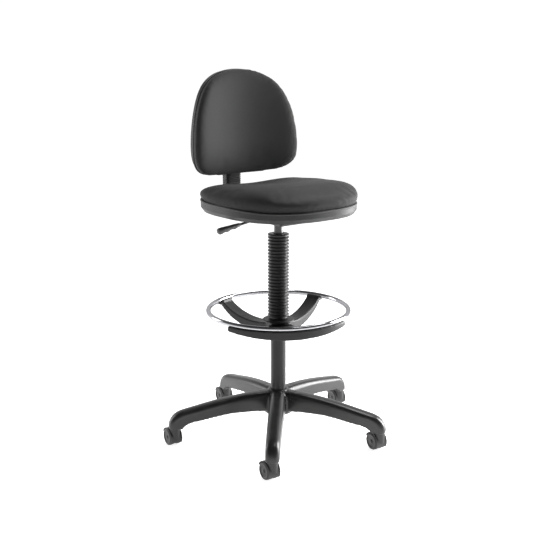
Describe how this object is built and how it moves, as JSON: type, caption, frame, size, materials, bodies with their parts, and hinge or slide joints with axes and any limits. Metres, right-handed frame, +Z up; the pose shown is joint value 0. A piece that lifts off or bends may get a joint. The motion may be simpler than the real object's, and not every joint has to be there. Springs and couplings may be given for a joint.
{
  "type": "drafting chair",
  "caption": "Tall swivel chair with a round saddle seat, domed backrest, gas lift, chromed foot ring and a star base on twin-wheel casters.",
  "frame": {"origin": "on the floor, on the column's axis", "axes": "+Z up; the seat's front points along -Y; the sitter's right hand is on the -X side"},
  "size_m": [0.6867, 0.6935, 1.158],
  "materials": {
    "base_nylon": "satin moulded",
    "column_paint": "satin powder coat",
    "bearing_plastic": "plain",
    "steel": "bright zinc",
    "bellows_plastic": "satin",
    "cylinder_black": "gloss black",
    "mechanism_paint": "black enamel",
    "grip_plastic": "satin",
    "shell_plastic": "fine texture",
    "plywood": "raw",
    "upholstery": "woven",
    "boot_rubber": "matte",
    "chrome": "polished",
    "spider_nylon": "fine texture",
    "caster_nylon": "satin",
    "caster_wheel": "satin"
  },
  "bodies": {
    "base": {"star_base": "base_nylon", "stand_tube": "column_paint", "guide_bush": "bearing_plastic", "thrust_bearing": "steel", "bellows": "bellows_plastic"},
    "caster_1": {"caster_1_stem": "steel", "caster_1_housing": "caster_nylon", "caster_1_axle": "steel"},
    "caster_1_wheel_left": {"caster_1_wheel_left": "caster_wheel"},
    "caster_1_wheel_right": {"caster_1_wheel_right": "caster_wheel"},
    "caster_2": {"caster_2_stem": "steel", "caster_2_housing": "caster_nylon", "caster_2_axle": "steel"},
    "caster_2_wheel_left": {"caster_2_wheel_left": "caster_wheel"},
    "caster_2_wheel_right": {"caster_2_wheel_right": "caster_wheel"},
    "caster_3": {"caster_3_stem": "steel", "caster_3_housing": "caster_nylon", "caster_3_axle": "steel"},
    "caster_3_wheel_left": {"caster_3_wheel_left": "caster_wheel"},
    "caster_3_wheel_right": {"caster_3_wheel_right": "caster_wheel"},
    "caster_4": {"caster_4_stem": "steel", "caster_4_housing": "caster_nylon", "caster_4_axle": "steel"},
    "caster_4_wheel_left": {"caster_4_wheel_left": "caster_wheel"},
    "caster_4_wheel_right": {"caster_4_wheel_right": "caster_wheel"},
    "caster_5": {"caster_5_stem": "steel", "caster_5_housing": "caster_nylon", "caster_5_axle": "steel"},
    "caster_5_wheel_left": {"caster_5_wheel_left": "caster_wheel"},
    "caster_5_wheel_right": {"caster_5_wheel_right": "caster_wheel"},
    "lift_rod": {"piston_rod": "steel", "piston": "bearing_plastic", "retaining_clip": "steel"},
    "seat": {"gas_cylinder": "cylinder_black", "taper_socket": "mechanism_paint", "mechanism_housing": "mechanism_paint", "bar_sleeve": "mechanism_paint", "lever_pivot_pin": "steel", "seat_shell": "shell_plastic", "seat_board": "plywood", "seat_cushion": "upholstery", "seat_bolts": "steel", "seat_nuts": "steel"},
    "valve_pin": {"valve_pin": "steel"},
    "lever": {"lever_rod": "mechanism_paint", "lever_grip": "grip_plastic"},
    "depth_knob": {"depth_knob": "grip_plastic"},
    "back_bar": {"back_bar": "mechanism_paint", "bar_boot": "boot_rubber"},
    "backrest": {"back_cushion": "upholstery", "back_board": "plywood", "back_shell": "shell_plastic", "back_bracket": "mechanism_paint"},
    "height_knob": {"height_knob": "grip_plastic"},
    "ring_collet": {"ring_collet": "bearing_plastic"},
    "foot_ring": {"foot_ring": "chrome", "ring_spider": "spider_nylon", "ring_clip_caps": "spider_nylon", "ring_clip_screws": "steel"},
    "ring_clamp_knob": {"ring_clamp_knob": "grip_plastic"}
  },
  "joints": [
    {"name": "caster_1_swivel", "type": "hinge", "parent": "base", "child": "caster_1", "pos_m": [0.03005, 0.33666, 0.06], "axis": [0, 0, 1], "continuous": true},
    {"name": "caster_1_wheel_left_spin", "type": "hinge", "parent": "caster_1", "child": "caster_1_wheel_left", "pos_m": [0.03182, 0.35357, 0.027], "axis": [-0.9945, 0.1045, 0], "continuous": true},
    {"name": "caster_1_wheel_right_spin", "type": "hinge", "parent": "caster_1", "child": "caster_1_wheel_right", "pos_m": [0.03182, 0.35357, 0.027], "axis": [-0.9945, 0.1045, 0], "continuous": true},
    {"name": "caster_2_swivel", "type": "hinge", "parent": "base", "child": "caster_2", "pos_m": [-0.3109, 0.13261, 0.06], "axis": [0, 0, 1], "continuous": true},
    {"name": "caster_2_wheel_left_spin", "type": "hinge", "parent": "caster_2", "child": "caster_2_wheel_left", "pos_m": [-0.30912, 0.14952, 0.027], "axis": [-0.9945, 0.1045, 0], "continuous": true},
    {"name": "caster_2_wheel_right_spin", "type": "hinge", "parent": "caster_2", "child": "caster_2_wheel_right", "pos_m": [-0.30912, 0.14952, 0.027], "axis": [-0.9945, 0.1045, 0], "continuous": true},
    {"name": "caster_3_swivel", "type": "hinge", "parent": "base", "child": "caster_3", "pos_m": [-0.22219, -0.2547, 0.06], "axis": [0, 0, 1], "continuous": true},
    {"name": "caster_3_wheel_left_spin", "type": "hinge", "parent": "caster_3", "child": "caster_3_wheel_left", "pos_m": [-0.22042, -0.2378, 0.027], "axis": [-0.9945, 0.1045, 0], "continuous": true},
    {"name": "caster_3_wheel_right_spin", "type": "hinge", "parent": "caster_3", "child": "caster_3_wheel_right", "pos_m": [-0.22042, -0.2378, 0.027], "axis": [-0.9945, 0.1045, 0], "continuous": true},
    {"name": "caster_4_swivel", "type": "hinge", "parent": "base", "child": "caster_4", "pos_m": [0.17358, -0.29003, 0.06], "axis": [0, 0, 1], "continuous": true},
    {"name": "caster_4_wheel_left_spin", "type": "hinge", "parent": "caster_4", "child": "caster_4_wheel_left", "pos_m": [0.17535, -0.27312, 0.027], "axis": [-0.9945, 0.1045, 0], "continuous": true},
    {"name": "caster_4_wheel_right_spin", "type": "hinge", "parent": "caster_4", "child": "caster_4_wheel_right", "pos_m": [0.17535, -0.27312, 0.027], "axis": [-0.9945, 0.1045, 0], "continuous": true},
    {"name": "caster_5_swivel", "type": "hinge", "parent": "base", "child": "caster_5", "pos_m": [0.32947, 0.07546, 0.06], "axis": [0, 0, 1], "continuous": true},
    {"name": "caster_5_wheel_left_spin", "type": "hinge", "parent": "caster_5", "child": "caster_5_wheel_left", "pos_m": [0.33125, 0.09237, 0.027], "axis": [-0.9945, 0.1045, 0], "continuous": true},
    {"name": "caster_5_wheel_right_spin", "type": "hinge", "parent": "caster_5", "child": "caster_5_wheel_right", "pos_m": [0.33125, 0.09237, 0.027], "axis": [-0.9945, 0.1045, 0], "continuous": true},
    {"name": "seat_swivel", "type": "hinge", "parent": "base", "child": "lift_rod", "pos_m": [0, 0, 0.4], "axis": [0, 0, 1], "continuous": true},
    {"name": "seat_height", "type": "slide", "parent": "lift_rod", "child": "seat", "axis": [0, 0, 1], "range_m": [-0.175, 0], "deforming": ["bellows"]},
    {"name": "lever_lift", "type": "hinge", "parent": "seat", "child": "lever", "pos_m": [-0.04, 0, 0.727], "axis": [0, 1, 0], "range_deg": [0, 6], "stiffness_Nm_per_rad": 2, "springref_deg": -8.59},
    {"name": "valve_press", "type": "slide", "parent": "seat", "child": "valve_pin", "axis": [0, 0, -1], "range_m": [0, 0.0055]},
    {"name": "back_depth", "type": "slide", "parent": "seat", "child": "back_bar", "axis": [0, 1, 0], "range_m": [0, 0.04]},
    {"name": "depth_knob_turn", "type": "hinge", "parent": "seat", "child": "depth_knob", "pos_m": [0, 0.11, 0.7], "axis": [0, 0, -1], "range_deg": [0, 360]},
    {"name": "back_height", "type": "slide", "parent": "back_bar", "child": "backrest", "axis": [0, 0, 1], "range_m": [0, 0.06]},
    {"name": "height_knob_turn", "type": "hinge", "parent": "backrest", "child": "height_knob", "pos_m": [0, 0.27, 0.942], "axis": [0, 1, 0], "range_deg": [0, 360]},
    {"name": "ring_height", "type": "slide", "parent": "base", "child": "ring_collet", "axis": [0, 0, 1], "range_m": [-0.15, 0]},
    {"name": "ring_turn", "type": "hinge", "parent": "ring_collet", "child": "foot_ring", "pos_m": [0, 0, 0.37], "axis": [0, 0, 1], "continuous": true},
    {"name": "ring_knob_turn", "type": "hinge", "parent": "foot_ring", "child": "ring_clamp_knob", "pos_m": [0.03286, 0.06181, 0.371], "axis": [0.4695, 0.8829, 0], "range_deg": [0, 360]}
  ],
  "couplings": [
    {"joint": "valve_press", "follows": "lever_lift", "m_per_rad": 0.046}
  ]
}
